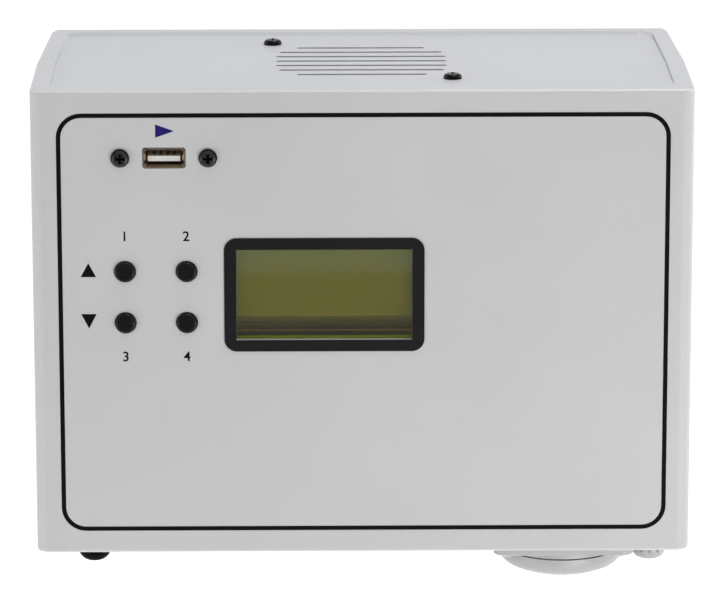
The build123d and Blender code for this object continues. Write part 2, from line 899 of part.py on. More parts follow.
# ---------------------------------------------------------------- outlet
def collar_z():
    return -outlet_flange_thickness - outlet_collar_height


def hinge_y():
    return outlet_y + hinge_back


def hinge_z():
    return collar_z() - lid_gap - lid_rim_height / 2 - fit_gap


def recess_top():
    return collar_z() + outlet_recess_depth


def outlet_body():
    """Flange, collar and cup in one moulding, with hinge lugs at the rear."""
    flange = RectangleRounded(outlet_flange_size, outlet_flange_size, outlet_flange_corner)
    body = level(flange, outlet_x, outlet_y, -outlet_flange_thickness, 0)
    body = fillet(body.edges().group_by(Axis.Z)[0], outlet_edge_radius)
    body += upright(outlet_collar_radius, outlet_x, outlet_y, collar_z(), 0)
    cup = outlet_recess_radius + outlet_cup_wall
    body += upright(cup, outlet_x, outlet_y, 0, recess_top() + outlet_cup_floor)
    body -= upright(outlet_recess_radius, outlet_x, outlet_y, collar_z(), recess_top())
    for side in (-1, 1):
        x = outlet_x + side * outlet_pin_pitch / 2
        radius = outlet_pin_radius + contact_wall
        body -= upright(radius, x, outlet_y, recess_top(), recess_top() + outlet_cup_floor)
        inner = lid_knuckle_width / 2 + spring_space
        span = sorted((outlet_x + side * inner, outlet_x + side * (inner + lug_width)))
        lug = crosswise(lid_knuckle_radius, hinge_y(), hinge_z(), *span)
        lug += block(span, (hinge_y() - lid_knuckle_radius, hinge_y() + lid_knuckle_radius - 1),
                     (hinge_z(), -outlet_flange_thickness))
        lug -= upright(lid_radius + running_gap, outlet_x, outlet_y, 2 * hinge_z(), collar_z())
        body += lug
    body -= crosswise(hinge_pin_radius, hinge_y(), hinge_z(), outlet_x - lid_radius, outlet_x + lid_radius)
    for dx, dy in corners(outlet_screw_pitch, outlet_screw_pitch):
        body -= upright(small_hole, outlet_x + dx, outlet_y + dy, -outlet_flange_thickness, 0)
    return body


def outlet_contacts():
    def tube(side):
        x = outlet_x + side * outlet_pin_pitch / 2
        low, high = recess_top(), recess_top() + contact_length
        ring = upright(outlet_pin_radius + contact_wall, x, outlet_y, low, high)
        return ring - upright(outlet_pin_radius, x, outlet_y, low, high - 1)

    return joined(tube(side) for side in (-1, 1))


def outlet_earth_clips():
    """Two sprung strips that lie along the recess wall, front and rear."""
    def strip(side):
        wall_y = outlet_y + side * (outlet_recess_radius - fit_gap)
        inner_y = wall_y - side * (earth_clip_stand + earth_clip_thickness)
        span = (outlet_x - earth_clip_width / 2, outlet_x + earth_clip_width / 2)
        low = collar_z() + earth_clip_drop
        limb = block(span, sorted((inner_y, inner_y + side * earth_clip_thickness)),
                     (low, recess_top()))
        foot = block(span, sorted((inner_y, wall_y - side * earth_foot_gap)),
                     (low, low + earth_clip_thickness))
        return limb + foot

    return joined(strip(side) for side in (-1, 1))


def outlet_screws():
    length = outlet_flange_thickness + floor_wall + tip_room
    screw = Rot(X=180) * pan_screw(small_head, small_head_height, small_shank, length, small_cross)
    places = corners(outlet_screw_pitch, outlet_screw_pitch)
    return joined(Pos(outlet_x + dx, outlet_y + dy, -outlet_flange_thickness) * screw
                  for dx, dy in places)


def dome(inset):
    """Shallow dome hanging from Z = 0: a short straight rim, a round shoulder and a flat crown."""
    radius = lid_radius - inset
    height = lid_height - inset
    shoulder = lid_shoulder - inset
    drop = height - lid_rim_height
    run = radius - shoulder
    crown = (run**2 + drop**2 - shoulder**2) / (2 * (drop - shoulder))
    reach = crown / (crown - shoulder)
    join = (run * reach, crown - height - (crown - drop) * reach)
    side = Polyline((0, 0), (radius, 0), (radius, -lid_rim_height))
    bend = TangentArc(side @ 1, join, tangent=(0, -1))
    cap = TangentArc(bend @ 1, (0, -height), tangent=bend % 1)
    profile = make_face(side + bend + cap + Line((0, -height), (0, 0)))
    return revolve(Plane.XZ * profile, Axis.Z)


def outlet_lid():
    """Domed shell with a knuckle on the hinge axis behind it."""
    rim = Pos(outlet_x, outlet_y, collar_z() - lid_gap)
    half = lid_knuckle_width / 2
    span = (outlet_x - half, outlet_x + half)
    arm = block(span, (outlet_y + lid_radius - 4 * lid_wall, hinge_y()),
                (hinge_z() - lid_knuckle_radius, hinge_z() + lid_rim_height / 2))
    lid = rim * dome(0) + arm
    lid += crosswise(lid_knuckle_radius, hinge_y(), hinge_z(), *span)
    lid -= rim * dome(lid_wall)
    return lid - crosswise(hinge_pin_radius + hinge_bore_gap, hinge_y(), hinge_z(), *span)


def outlet_hinge_pin():
    reach = lid_knuckle_width / 2 + spring_space + lug_width
    return crosswise(hinge_pin_radius, hinge_y(), hinge_z(), outlet_x - reach, outlet_x + reach)


def outlet_lid_spring():
    """Turns of spring wire round the pin, in the space between knuckle and lug on each side."""
    ring = Rot(Y=90) * Torus(hinge_pin_radius + spring_room + spring_wire, spring_wire)
    first = lid_knuckle_width / 2 + running_gap + spring_wire
    turns = [side * (first + index * spring_step) for side in (-1, 1) for index in range(spring_turns)]
    return joined(Pos(outlet_x + offset, hinge_y(), hinge_z()) * ring for offset in turns)


def make_outlet():
    keep("outlet_body", outlet_body())
    keep("outlet_contacts", outlet_contacts())
    keep("outlet_earth_clips", outlet_earth_clips())
    keep("outlet_screws", outlet_screws())
    keep("outlet_lid", outlet_lid())
    keep("outlet_hinge_pin", outlet_hinge_pin())
    keep("outlet_lid_spring", outlet_lid_spring())


# ---------------------------------------------------------------- fuse holder, gland, line socket
def fuse_holder():
    body = upright(fuse_flange_radius, fuse_x, service_y, -fuse_flange_thickness, 0)
    body = chamfer(body.edges().group_by(Axis.Z)[0], fuse_flange_chamfer)
    body += upright(fuse_barrel_radius, fuse_x, service_y, 0, fuse_barrel_length)
    return body - upright(fuse_bore_radius, fuse_x, service_y, -fuse_flange_thickness,
                          fuse_barrel_length - fuse_barrel_end)


def fuse_nut():
    face = Circle(fuse_nut_radius) - Circle(fuse_barrel_radius)
    return level(face, fuse_x, service_y, floor_wall, floor_wall + fuse_nut_height)


def fuse_cap():
    """Round-ended cap with a coin slot, and the stem that carries the fuse."""
    top = -fuse_flange_thickness - fuse_cap_gap
    radius = fuse_cap_radius
    body = upright(radius, fuse_x, service_y, -fuse_cap_drop, top)
    body = fillet(body.edges().group_by(Axis.Z)[0], radius - fuse_cap_flat)
    slot = block((fuse_x - radius, fuse_x + radius),
                 (service_y - coin_slot_width / 2, service_y + coin_slot_width / 2),
                 (-fuse_cap_drop, -fuse_cap_drop + coin_slot_depth))
    return (body - slot) + upright(fuse_stem_radius, fuse_x, service_y, top, fuse_stem_length)


def fuse_parts():
    """Glass tube and its two metal ends."""
    low = fuse_stem_length
    high = low + fuse_glass_length
    tube_low, tube_high = low + fuse_ferrule_length, high - fuse_ferrule_length
    glass = upright(fuse_glass_radius - fuse_glass_inset, fuse_x, service_y, tube_low, tube_high)
    ends = [upright(fuse_glass_radius, fuse_x, service_y, low, tube_low),
            upright(fuse_glass_radius, fuse_x, service_y, tube_high, high)]
    return glass, joined(ends)


def gland_body():
    """Threaded tube through the floor with a collar under it."""
    body = upright(gland_radius, gland_x, service_y, -gland_hex_height, 0)
    body += upright(gland_thread_radius, gland_x, service_y, 0, gland_thread_length)
    throat = upright(gland_throat_radius, gland_x, service_y, -gland_hex_height, gland_thread_length)
    return body - throat


def gland_cap():
    """Dome nut with grip flutes and a rounded nose."""
    cap = upright(gland_radius, gland_x, service_y, -gland_drop, -gland_hex_height)
    cap = fillet(cap.edges().group_by(Axis.Z)[0], gland_nose_rounding)
    flute_end = gland_nose_rounding - gland_drop
    for index in range(gland_flutes):
        out = gland_radius - gland_flute_depth + gland_flute_radius
        flute = upright(gland_flute_radius, out, 0, flute_end, 0)
        cap -= Pos(gland_x, service_y, 0) * Rot(Z=360 / gland_flutes * index) * flute
    return cap - upright(gland_bore_radius, gland_x, service_y, -gland_drop, -gland_hex_height)


def gland_nut():
    face = RegularPolygon(gland_nut_flats / 2, 6, major_radius=False) - Circle(gland_thread_radius)
    return level(face, gland_x, service_y, floor_wall, floor_wall + gland_nut_height)


def line_socket():
    """Metal sleeve of the line-out socket with its round base under the floor."""
    body = upright(line_base_radius, line_x, line_y, -line_base_thickness, 0)
    body += upright(line_sleeve_radius, line_x, line_y, -line_drop, line_tail)
    return body - upright(line_bore_radius, line_x, line_y, -line_drop, line_tail - line_end)


def line_insulator():
    body = upright(line_bore_radius, line_x, line_y, 0, line_tail - line_end)
    return body - upright(line_pin_radius, line_x, line_y, 0, line_tail - 2 * line_end)


def make_service_row():
    keep("fuse_holder", fuse_holder())
    keep("fuse_holder_nut", fuse_nut())
    keep("fuse_cap", fuse_cap())
    glass, ends = fuse_parts()
    keep("fuse_glass", glass)
    keep("fuse_ends", ends)
    keep("gland_body", gland_body())
    keep("gland_cap", gland_cap())
    keep("gland_lock_nut", gland_nut())
    keep("line_socket", line_socket())
    keep("line_socket_insulator", line_insulator())


# ---------------------------------------------------------------- boards and transformer
def main_board_back():
    return -cover_floor - main_board_stand


def main_board_front():
    return main_board_back() - board_thickness


def main_board_holes():
    pitch_x = main_board_width - 2 * main_board_margin
    pitch_z = main_board_height - 2 * main_board_margin
    return [(main_board_x + dx, main_board_z + dz) for dx, dz in corners(pitch_x, pitch_z)]


def on_board(size, x, z):
    """Box standing on the main board's front side."""
    face = Rectangle(size[0], size[1])
    front = main_board_front() - size[2]
    return plate(face, main_board_x + x, main_board_z + z, front, main_board_front())


def main_board():
    face = Rectangle(main_board_width, main_board_height)
    board = plate(face, main_board_x, main_board_z, main_board_front(), main_board_back())
    for x, z in main_board_holes():
        board -= lengthwise(small_hole, x, z, main_board_front(), main_board_back())
    return board


def board_screws():
    """Ten equal screws: four hold the display's board, two the key board, four the main board."""
    screw = pan_screw(small_head, small_head_height, small_shank, board_screw_length, small_cross)
    forward = Rot(X=-90) * screw
    display_back = module_board_front() + board_thickness
    places = [(window_x + dx, module_z + dz) for dx, dz in corners(module_hole_x, module_hole_z)]
    screws = [Pos(x, display_back, z) * forward for x, z in places]
    key_back = key_board_front() + board_thickness
    screws += [Pos(x, key_back, z) * forward for x, z in key_screw_places()]
    backward = Rot(X=90) * screw
    screws += [Pos(x, main_board_front(), z) * backward for x, z in main_board_holes()]
    return joined(screws)


def terminal_block():
    body = on_board(terminal_size, main_board_width / 2 - terminal_edge_x,
                    terminal_edge_z - main_board_height / 2)
    low, high = body.bounding_box().min, body.bounding_box().max
    pitch = terminal_size[0] / terminal_ways
    for index in range(terminal_ways):
        x = low.X + (index + 0.5) * pitch
        z = (low.Z + high.Z) / 2 + terminal_screw_rise
        body -= lengthwise(terminal_screw_radius, x, z, low.Y, low.Y + terminal_screw_depth)
        body -= block((x - terminal_mouth / 2, x + terminal_mouth / 2),
                      (low.Y + terminal_mouth, low.Y + 2 * terminal_mouth),
                      (low.Z, low.Z + terminal_mouth))
    return body


def capacitors():
    def can(index):
        x = main_board_x - main_board_width / 2 + capacitor_edge_x + index * capacitor_pitch
        z = main_board_z + main_board_height / 2 - capacitor_edge_z
        front = main_board_front() - capacitor_height
        body = lengthwise(capacitor_radius, x, z, front, main_board_front())
        return fillet(body.edges().group_by(Axis.Y)[0], capacitor_rounding)

    return joined(can(index) for index in range(capacitor_count))


def heat_sink():
    """Comb of fins on a base, standing on the board."""
    x = main_board_x - main_board_width / 2 + sink_edge_x
    z = main_board_z - main_board_height / 2 + sink_edge_z
    front = main_board_front() - sink_height
    body = plate(Rectangle(sink_width, sink_base), x, z - sink_depth / 2, front, main_board_front())
    pitch = (sink_width - sink_fin_wall) / (sink_fins - 1)
    for index in range(sink_fins):
        fin_x = x - sink_width / 2 + sink_fin_wall / 2 + index * pitch
        fin = Rectangle(sink_fin_wall, sink_depth)
        body += plate(fin, fin_x, z, front, main_board_front())
    return body


def cell_place():
    return (main_board_x + main_board_width / 2 - holder_edge_x,
            main_board_z - main_board_height / 2 + holder_edge_z)


def coin_cell_holder():
    front = main_board_front() - holder_height
    body = lengthwise(holder_radius, *cell_place(), front, main_board_front())
    return body - lengthwise(cell_radius + fit_gap, *cell_place(), front, front + cell_height)


def coin_cell():
    front = main_board_front() - holder_height
    return lengthwise(cell_radius, *cell_place(), front, front + cell_height)


def transformer_back():
    return -cover_floor - transformer_pad_height


def transformer_holes():
    reach = core_width / 2 + bracket_sheet + bracket_foot / 2
    return [(transformer_x + side * reach, transformer_z) for side in (-1, 1)]


def transformer_slab(sketch, height, forward=0):
    """Sheet across the transformer's middle, centred on the core, seen from above."""
    y = transformer_back() - core_depth / 2 - forward
    return level(sketch, transformer_x, y, transformer_z - height / 2, transformer_z + height / 2)


def transformer_core():
    """Stack of plates with two windows; the middle limb is twice as wide as the outer ones."""
    face = Rectangle(core_width, core_depth)
    for side in (-1, 1):
        window = Rectangle(core_limb, core_depth - 2 * core_limb)
        face -= Pos(side * core_limb * 1.5, 0) * window
    return transformer_slab(face, core_stack)


def transformer_winding():
    """Coils round the middle limb, standing out above and below the stack."""
    length = core_depth - 2 * core_limb
    outer = RectangleRounded(4 * core_limb - 2 * winding_gap, length - 2 * winding_gap, winding_corner)
    body = transformer_slab(outer, core_stack + 2 * winding_overhang)
    return body - transformer_slab(Rectangle(2 * core_limb, length), core_stack)


def transformer_bracket():
    """Strap round three sides of the core with two feet on the rear cover's pads."""
    outer = Rectangle(core_width + 2 * bracket_sheet, core_depth + bracket_sheet)
    strap = transformer_slab(outer, bracket_width, forward=bracket_sheet / 2)
    strap -= transformer_slab(Rectangle(core_width, core_depth), bracket_width)
    span = core_width / 2 + bracket_sheet
    for side in (-1, 1):
        foot_x = sorted((transformer_x + side * span, transformer_x + side * (span + bracket_foot)))
        foot_z = (transformer_z - bracket_width / 2, transformer_z + bracket_width / 2)
        strap += block(foot_x, (transformer_back() - bracket_sheet, transformer_back()), foot_z)
    for x, z in transformer_holes():
        strap -= lengthwise(m3_hole, x, z, transformer_back() - bracket_sheet, transformer_back())
    return strap


def transformer_screws():
    length = bracket_sheet + transformer_pad_height - transformer_tip_room
    screw = Rot(X=90) * pan_screw(m3_head, m3_head_height, m3_shank, length)
    front = transformer_back() - bracket_sheet
    return joined(Pos(x, front, z) * screw for x, z in transformer_holes())


def ribbon_heights():
    """Middle of the plug on the display's board, and of the one on the main board."""
    inset = plug_margin + plug_height / 2
    return module_z - module_height / 2 + inset, main_board_z + main_board_height / 2 - inset


def display_ribbon():
    """Flat ribbon from the display's board back to the main board."""
    start = module_board_front() + board_thickness + plug_depth
    end = main_board_front() - plug_depth
    high, low = ribbon_heights()
    path = FilletPolyline((ribbon_x, start, high), (ribbon_x, start + ribbon_straight, high),
                          (ribbon_x, end - ribbon_straight, low), (ribbon_x, end, low),
                          radius=ribbon_bend)
    start_plane = Plane(origin=path @ 0, x_dir=(1, 0, 0), z_dir=(0, 1, 0))
    return sweep(start_plane * Rectangle(ribbon_width, ribbon_thickness), path=path)


def ribbon_plugs():
    start = module_board_front() + board_thickness
    end = main_board_front()
    high, low = ribbon_heights()
    face = Rectangle(ribbon_width + 2 * plug_margin, plug_height)
    return joined([plate(face, ribbon_x, high, start, start + plug_depth),
                   plate(face, ribbon_x, low, end - plug_depth, end)])


def make_inside():
    keep("main_board", main_board())
    keep("board_screws", board_screws())
    chips = [on_board(size, *place) for size, place in zip(chip_sizes, chip_places)]
    keep("board_chips", joined(chips))
    keep("relay", on_board(relay_size, main_board_width / 2 - relay_edge_x, relay_rise))
    keep("terminal_block", terminal_block())
    keep("capacitors", capacitors())
    keep("heat_sink", heat_sink())
    keep("coin_cell_holder", coin_cell_holder())
    keep("coin_cell", coin_cell())
    keep("transformer_core", transformer_core())
    keep("transformer_winding", transformer_winding())
    keep("transformer_bracket", transformer_bracket())
    keep("transformer_screws", transformer_screws())
    keep("display_ribbon", display_ribbon())
    keep("ribbon_plugs", ribbon_plugs())


def main():
    keep("front_housing", front_housing())
    keep("rear_cover", rear_cover())
    keep("rear_cover_screws", rear_cover_screws())
    make_display()
    make_keys()
    make_usb()
    make_speaker()
    make_outlet()
    make_service_row()
    make_inside()
    os.makedirs("parts", exist_ok=True)
    for name, shape in PIECES.items():
        export_step(Pos(0, 0, -hang_z) * shape, f"parts/{name}.step")


main()
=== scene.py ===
"""Looks of the wall-hung azan clock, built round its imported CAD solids. Metres throughout."""

import json
import math

import bpy
from mathutils import Euler, Matrix, Vector

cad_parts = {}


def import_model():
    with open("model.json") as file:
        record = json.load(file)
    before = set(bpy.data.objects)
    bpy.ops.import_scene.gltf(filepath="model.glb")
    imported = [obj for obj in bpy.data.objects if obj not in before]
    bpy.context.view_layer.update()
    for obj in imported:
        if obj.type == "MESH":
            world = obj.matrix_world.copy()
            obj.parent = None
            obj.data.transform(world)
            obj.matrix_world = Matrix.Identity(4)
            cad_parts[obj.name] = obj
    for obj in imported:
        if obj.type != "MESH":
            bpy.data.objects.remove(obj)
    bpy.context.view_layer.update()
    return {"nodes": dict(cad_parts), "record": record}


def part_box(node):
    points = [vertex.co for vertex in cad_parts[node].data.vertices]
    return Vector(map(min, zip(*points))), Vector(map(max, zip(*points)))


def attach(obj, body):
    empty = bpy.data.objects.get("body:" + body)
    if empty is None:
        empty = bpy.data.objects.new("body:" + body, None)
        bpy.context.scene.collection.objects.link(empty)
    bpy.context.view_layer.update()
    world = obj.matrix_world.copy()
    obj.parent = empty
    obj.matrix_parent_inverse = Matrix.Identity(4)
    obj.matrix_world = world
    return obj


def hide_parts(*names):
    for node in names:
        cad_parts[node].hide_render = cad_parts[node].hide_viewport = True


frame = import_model()

MM = 0.001
BODY = "case"

# Places on the object, in millimetres as on a drawing: sideways from the middle, upwards from
# the case's underside.
CASE_BOTTOM = -128.0
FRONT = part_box("front_housing")[0].y / MM

# Printing on the face: left, right, low and high of the line's middle, then its width and bend.
FRAME_LINE = (-103.8, 104.4, 8.8, 155.3)
FRAME_LINE_WIDTH = 1.55
FRAME_LINE_RADIUS = 7.8
FRAME_LINE_BEND_STEPS = 12
INK_THICKNESS = 0.04
# Each number with its place, and the height and boldness of its figure.
NUMERALS = (("1", -81.6, 112.9), ("2", -60.5, 112.9), ("3", -81.6, 70.4), ("4", -60.5, 70.4))
NUMERAL_TALL = 3.4
NUMERAL_BOLD = 0.06
FIGURE_SHARE = 0.7  # a figure's height as a share of the text's size

# The sunk panel in the top: heights of its floor and rim, where its rear corners lie, and how
# far floor and rim run on to the rear, the rim further so that the step slopes.
PANEL_FLOOR = 163.0
PANEL_RIM = 164.0
PANEL_CORNER_X = (100, 106)
PANEL_CORNER_Y = (-25, -19)
PANEL_FLOOR_REACH = 9.0
PANEL_RIM_REACH = 10.4

# Smooth stand-ins: points closer than this are one, flats turned less than this are one flat,
# and edges turned more than this stay crisp.
WELD = 0.002
SAME_FLAT = math.radians(0.3)
CRISP_EDGE = math.radians(28)
TOUCHING = 0.02

# Camera: eye in millimetres, turns in radians, focal length and optical middle in pixels.
IMAGE_WIDTH = 722
EYE = (-14.94, -1731.27, 364.67)
PITCH, YAW, ROLL = 0.24403, 0.01011, -0.00076
FOCAL_PIXELS = 4846.27
MIDDLE_PIXEL = 366.89
SENSOR = 36.0

FLOOR_SIZE = 9
FLOOR_PLACE = (0, 3.6, -0.42)
FLOOR_LIFT = 0.7
ROOM_LIGHT = 0.385

# Every lamp: name, place, target, width and height, watts and tint.
LAMPS = (
    ("overhead_soft_box", (0.25, -0.1, 1.3), (0, -0.05, 0), (0.7, 0.5), 8.6, "#f6f9ff"),
    ("low_right_soft_box", (0.5, -0.95, -0.33), (0.02, -0.1, -0.08), (0.5, 0.16), 3.8, "#fffdfb"),
    ("low_left_soft_box", (-0.9, -0.75, -0.3), (-0.02, -0.1, -0.08), (0.5, 0.2), 1.9, "#fffdfb"),
    ("rear_soft_box", (1.4, 1.4, -0.1), (0, 0, -0.05), (0.8, 0.5), 4, "#ffffff"),
    ("strip_light", (0.7, -0.9, 1.0), (-0.05, -0.115, 0), (0.5, 0.06), 0.7, "#ffffff"),
    ("right_soft_box", (1.8, 0.15, 0.3), (0, -0.05, 0), (0.8, 1.0), 9, "#ffffff"),
    ("left_soft_box", (-1.8, 0.15, 0.3), (0, -0.05, 0), (0.8, 1.0), 9, "#ffffff"),
)


def height(z):
    """Height above the case's underside, turned into the shared frame."""
    return (CASE_BOTTOM + z) * MM


# ------------------------------------------------------------------ small helpers
def linear(code):
    """Colour given as sRGB hex, as the linear RGBA that a shader takes."""
    values = [int(code[i:i + 2], 16) / 255 for i in (1, 3, 5)]
    curve = [v / 12.92 if v <= 0.04045 else ((v + 0.055) / 1.055) ** 2.4 for v in values]
    return (*curve, 1.0)


def add(tree, kind, sockets=None, **settings):
    """Add one node, give it its settings, and fill or link its sockets."""
    node = tree.nodes.new(kind)
    for name, value in settings.items():
        setattr(node, name, value)
    for name, value in (sockets or {}).items():
        if isinstance(value, bpy.types.NodeSocket):
            tree.links.new(value, node.inputs[name])
        else:
            node.inputs[name].default_value = value
    return node


def new_material(name):
    """Node material with its output and one Principled shader."""
    material = bpy.data.materials.new(name)
    material.use_nodes = True
    tree = material.node_tree
    tree.nodes.clear()
    shader = add(tree, "ShaderNodeBsdfPrincipled")
    add(tree, "ShaderNodeOutputMaterial", {"Surface": shader.outputs["BSDF"]})
    return material, tree, shader


def grain(tree, size_mm, detail=3.0, stretch=(1, 1, 1)):
    """Noise whose features are about this many millimetres across, in object space."""
    place = add(tree, "ShaderNodeTexCoord")
    turn = add(tree, "ShaderNodeMapping", {"Vector": place.outputs["Object"], "Scale": stretch})
    noise = add(tree, "ShaderNodeTexNoise", {"Vector": turn.outputs["Vector"],
                                             "Scale": 1 / (size_mm * MM), "Detail": detail})
    return noise.outputs["Fac"]


def ramp(tree, factor, stops):
    """Colour ramp over a factor; stops are (position, hex colour) or (position, grey value)."""
    node = add(tree, "ShaderNodeValToRGB", {"Fac": factor})
    steps = node.color_ramp.elements
    while len(steps) < len(stops):
        steps.new(0.5)
    for step, (position, value) in zip(steps, stops):
        step.position = position
        step.color = linear(value) if isinstance(value, str) else (value, value, value, 1)
    return node.outputs["Color"]


def axis_of(tree, source, letter):
    """One axis of a piece's own coordinates, or of its normal."""
    place = add(tree, "ShaderNodeTexCoord")
    split = add(tree, "ShaderNodeSeparateXYZ", {"Vector": place.outputs[source]})
    return split.outputs[letter]


def set_relief(tree, shader, texture, depth_mm, strength):
    """Let a texture raise the surface by up to this depth."""
    bump = add(tree, "ShaderNodeBump", {"Height": texture, "Strength": strength,
                                        "Distance": depth_mm * MM})
    tree.links.new(bump.outputs["Normal"], shader.inputs["Normal"])


def moulded(name, pale, dark, rough, grain_mm=0.5, relief_mm=0.03, cloud_mm=35, shine=0.5):
    """Moulded plastic: slow cloudy shade from flow in the mould, and a fine eroded grain, drawn
    several times as coarse as the real one so that it shows."""
    material, tree, shader = new_material(name)
    shader.inputs["Specular IOR Level"].default_value = shine
    tint = ramp(tree, grain(tree, cloud_mm, 2.0), [(0.3, dark), (0.7, pale)])
    tree.links.new(tint, shader.inputs["Base Color"])
    fine = grain(tree, grain_mm, 2.0)
    gloss = ramp(tree, fine, [(0.3, rough - 0.04), (0.7, rough + 0.04)])
    tree.links.new(gloss, shader.inputs["Roughness"])
    set_relief(tree, shader, fine, relief_mm, 0.5)
    return material


def metal(name, pale, dark, rough, grain_mm=0.3, stretch=(1, 1, 1)):
    """Metal with a worked surface: small changes of tint, gloss and height along its grain,
    drawn coarser than the real marks so that they show."""
    material, tree, shader = new_material(name)
    shader.inputs["Metallic"].default_value = 1.0
    fine = grain(tree, grain_mm, 3.0, stretch)
    tree.links.new(ramp(tree, fine, [(0.3, dark), (0.7, pale)]), shader.inputs["Base Color"])
    gloss = ramp(tree, fine, [(0.3, rough * 0.75), (0.7, rough * 1.3)])
    tree.links.new(gloss, shader.inputs["Roughness"])
    set_relief(tree, shader, fine, 0.01, 0.4)
    return material


def clear(name, tint, rough, ior, smear_mm=8.0):
    """Clear sheet or tube with faint smears that vary its gloss."""
    material, tree, shader = new_material(name)
    shader.inputs["Base Color"].default_value = linear(tint)
    shader.inputs["Transmission Weight"].default_value = 1.0
    shader.inputs["IOR"].default_value = ior
    gloss = ramp(tree, grain(tree, smear_mm), [(0.4, rough), (0.7, rough * 1.6)])
    tree.links.new(gloss, shader.inputs["Roughness"])
    return material


def lay_over(material, factor, tint, rough=None):
    """Cover a finish with another tint, and gloss where one is given, as far as a factor says."""
    tree = material.node_tree
    shader = next(node for node in tree.nodes if node.type == "BSDF_PRINCIPLED")
    below = shader.inputs["Base Color"].links[0].from_socket
    # A Mix node's sockets are told apart by number: 2 and 3 are its greys, 6 and 7 its colours.
    mixed = add(tree, "ShaderNodeMix", {0: factor, 6: below, 7: linear(tint)}, data_type="RGBA")
    tree.links.new(mixed.outputs[2], shader.inputs["Base Color"])
    if rough is not None:
        below = shader.inputs["Roughness"].links[0].from_socket
        gloss = add(tree, "ShaderNodeMix", {0: factor, 2: below, 3: rough})
        tree.links.new(gloss.outputs[0], shader.inputs["Roughness"])


def paint_edge_highlight(material, pale, rough):
    """Painted highlight on the edges: paler, and glossier, where the face turns up or down."""
    tree = material.node_tree
    slant = add(tree, "ShaderNodeMath", {0: axis_of(tree, "Normal", "Y"),
                                         1: axis_of(tree, "Normal", "Z")}, operation="MULTIPLY")
    turned = add(tree, "ShaderNodeMath", {0: slant.outputs["Value"]}, operation="ABSOLUTE")
    lay_over(material, ramp(tree, turned.outputs["Value"], [(0.2, 0.0), (0.46, 1.0)]), pale, rough)


def paint_recess_shade(material, node, depth_mm, dark):
    """Painted shade in a screw head's recess and round its rim, this far behind the crown."""
    tree = material.node_tree
    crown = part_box(node)[0].y
    depth = add(tree, "ShaderNodeMapRange", {"Value": axis_of(tree, "Object", "Y"),
                                             "From Min": crown,
                                             "From Max": crown + 2 * depth_mm * MM})
    lay_over(material, ramp(tree, depth.outputs["Result"], [(0.45, 0.0), (0.55, 1.0)]), dark)


def rise_in(tree, node):
    """Height within one CAD node, from zero at its foot to one at its top."""
    low, high = (corner.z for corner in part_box(node))
    rise = add(tree, "ShaderNodeMapRange", {"Value": axis_of(tree, "Object", "Z"),
                                            "From Min": low, "From Max": high})
    return rise.outputs["Result"]


def wavering(tree, texture, share, rise):
    """A rise whose level lines waver a little with a texture."""
    mixed = add(tree, "ShaderNodeMath", {0: texture, 1: share, 2: rise}, operation="MULTIPLY_ADD")
    return mixed.outputs["Value"]


def polariser():
    """Unlit display glass under its polariser film: matt olive, greyer towards the top as a painted
    reflection, with a painted shadow along its lower edge and a thin painted highlight above it."""
    material, tree, shader = new_material("display_polariser_olive")
    level = wavering(tree, grain(tree, 18, 2.0), 0.012, rise_in(tree, "display_glass"))
    # Painted shadow at the lower edge, a thin painted highlight above it, and a greyer painted
    # reflection at the top.
    tint = ramp(tree, level, [
        (0.19, "#3b3524"), (0.235, "#57501f"), (0.245, "#7e7625"), (0.258, "#706a20"),
        (0.5, "#706a24"), (0.68, "#706c26"), (0.72, "#6f7034"), (0.9, "#707238")])
    tree.links.new(tint, shader.inputs["Base Color"])
    shader.inputs["Specular IOR Level"].default_value = 0.25
    gloss = ramp(tree, grain(tree, 0.4, 2.0), [(0.3, 0.12), (0.7, 0.2)])
    tree.links.new(gloss, shader.inputs["Roughness"])
    return material


def lacquered_limb():
    """Brown-black lacquered frame of the display: painted shade that darkens it downwards, a streak
    of painted highlight in paler brown, a painted shadow line, and greenish painted light at its
    foot."""
    material, tree, shader = new_material("lacquered_display_frame")
    band_grain = grain(tree, 6, 3.0, (0.1, 1, 1))
    level = wavering(tree, band_grain, 0.0012, rise_in(tree, "display_metal_frame"))
    # Painted light and shade: greenish light at the foot, a black shadow line, a pale brown
    # highlight streak, darkening downwards.
    tint = ramp(tree, level, [
        (0.073, "#a0ad48"), (0.076, "#060505"), (0.108, "#0b0908"), (0.114, "#1d1711"),
        (0.12, "#82603f"), (0.127, "#271e15"), (0.145, "#21180f"), (0.165, "#352b1b"),
        (0.185, "#4c4325"), (0.215, "#5a502b")])
    tree.links.new(tint, shader.inputs["Base Color"])
    shader.inputs["Specular IOR Level"].default_value = 0.03
    gloss = ramp(tree, band_grain, [(0.3, 0.45), (0.7, 0.6)])
    tree.links.new(gloss, shader.inputs["Roughness"])
    return material


# ------------------------------------------------------------------ finishes
# ABS in pale grey, moulded against a spark-eroded tool: an even satin skin with a fine grain,
# glossier along the turned front edges, where a paler tint is a painted highlight.
case_abs = moulded("moulded_abs_pale_grey", "#cbcbcc", "#c6c7c8", rough=0.46, grain_mm=0.55,
                   relief_mm=0.035, cloud_mm=60)
# Painted highlight: a paler tint where the front's edges turn up or down.
paint_edge_highlight(case_abs, "#dcdbd8", rough=0.28)
# Screen-printed black ink: dense and flat, hardly a shine, with a faint mesh grain.
ink = moulded("screen_ink_black", "#0d0c0e", "#09080a", rough=0.6, grain_mm=0.25,
              relief_mm=0.01, cloud_mm=20, shine=0.06)
# Screen-printed dark blue ink: the same film with a little more gloss.
blue_ink = moulded("screen_ink_blue", "#1f1774", "#191262", rough=0.5, grain_mm=0.25,
                   relief_mm=0.01, cloud_mm=20, shine=0.15)
